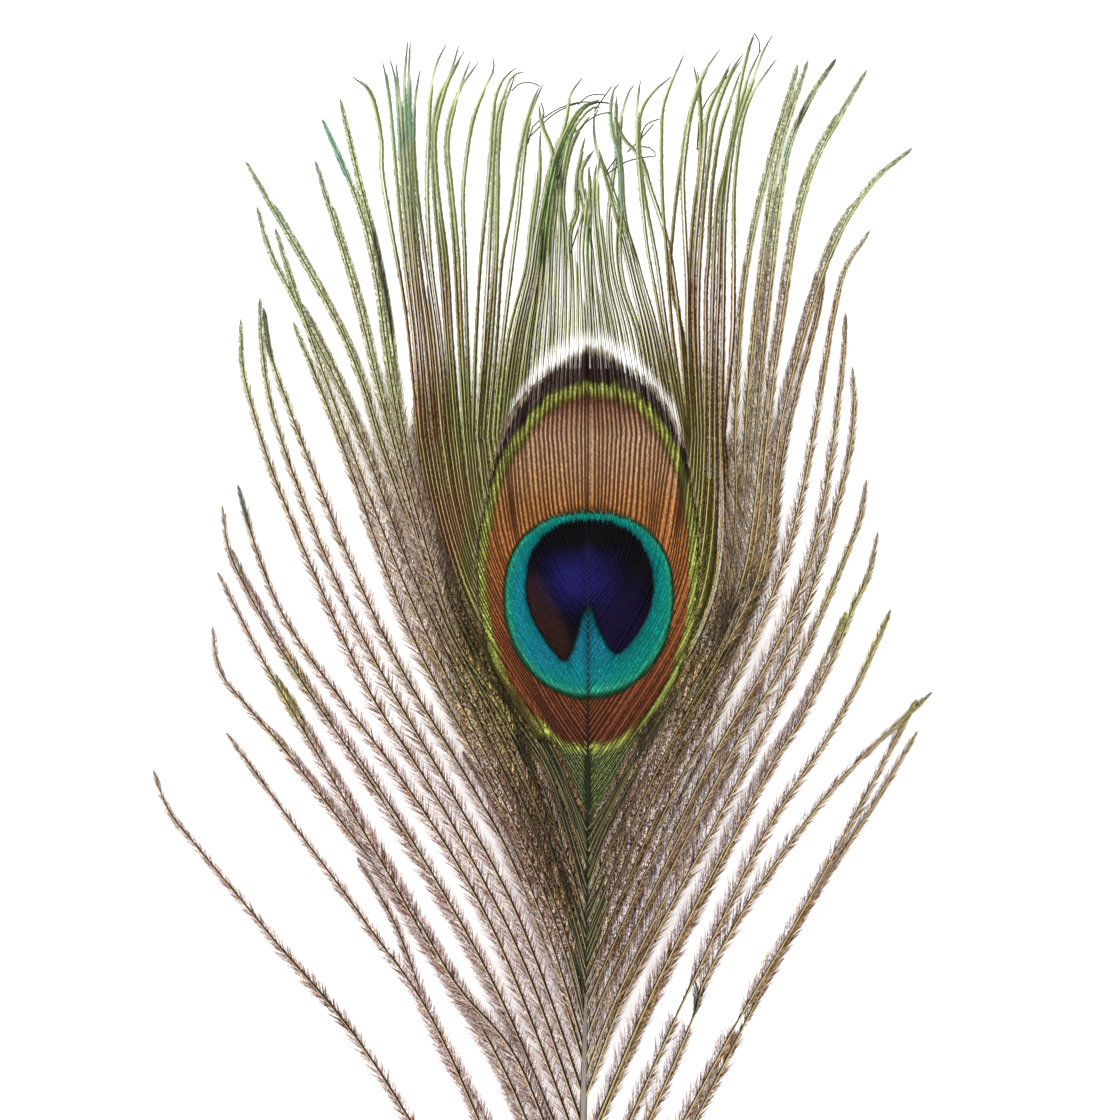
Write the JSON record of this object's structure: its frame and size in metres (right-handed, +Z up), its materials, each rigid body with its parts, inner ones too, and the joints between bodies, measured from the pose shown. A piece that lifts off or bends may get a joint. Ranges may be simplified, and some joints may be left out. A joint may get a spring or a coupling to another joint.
{
  "type": "peacock feather",
  "caption": "Train feather lying flat: bare quill, fringe of loose barbs, and an eye with a heart-shaped dark spot in bands of turquoise, bronze and green.",
  "frame": {"origin": "middle of the feather's outline, on the surface it lies on", "axes": "+Y from the cut end of the quill towards the eye, +Z up out of the face that shows the eye, +X to the right of the shaft seen from above"},
  "size_m": [0.1303, 0.2803, 0.009],
  "materials": {
    "feather": "soft, part metallic: bronze, turquoise, violet and gold-green eye, grey-brown loose barbs, horn-coloured quill"
  },
  "bodies": {
    "root": {"peacock_feather": "feather"}
  },
  "joints": []
}
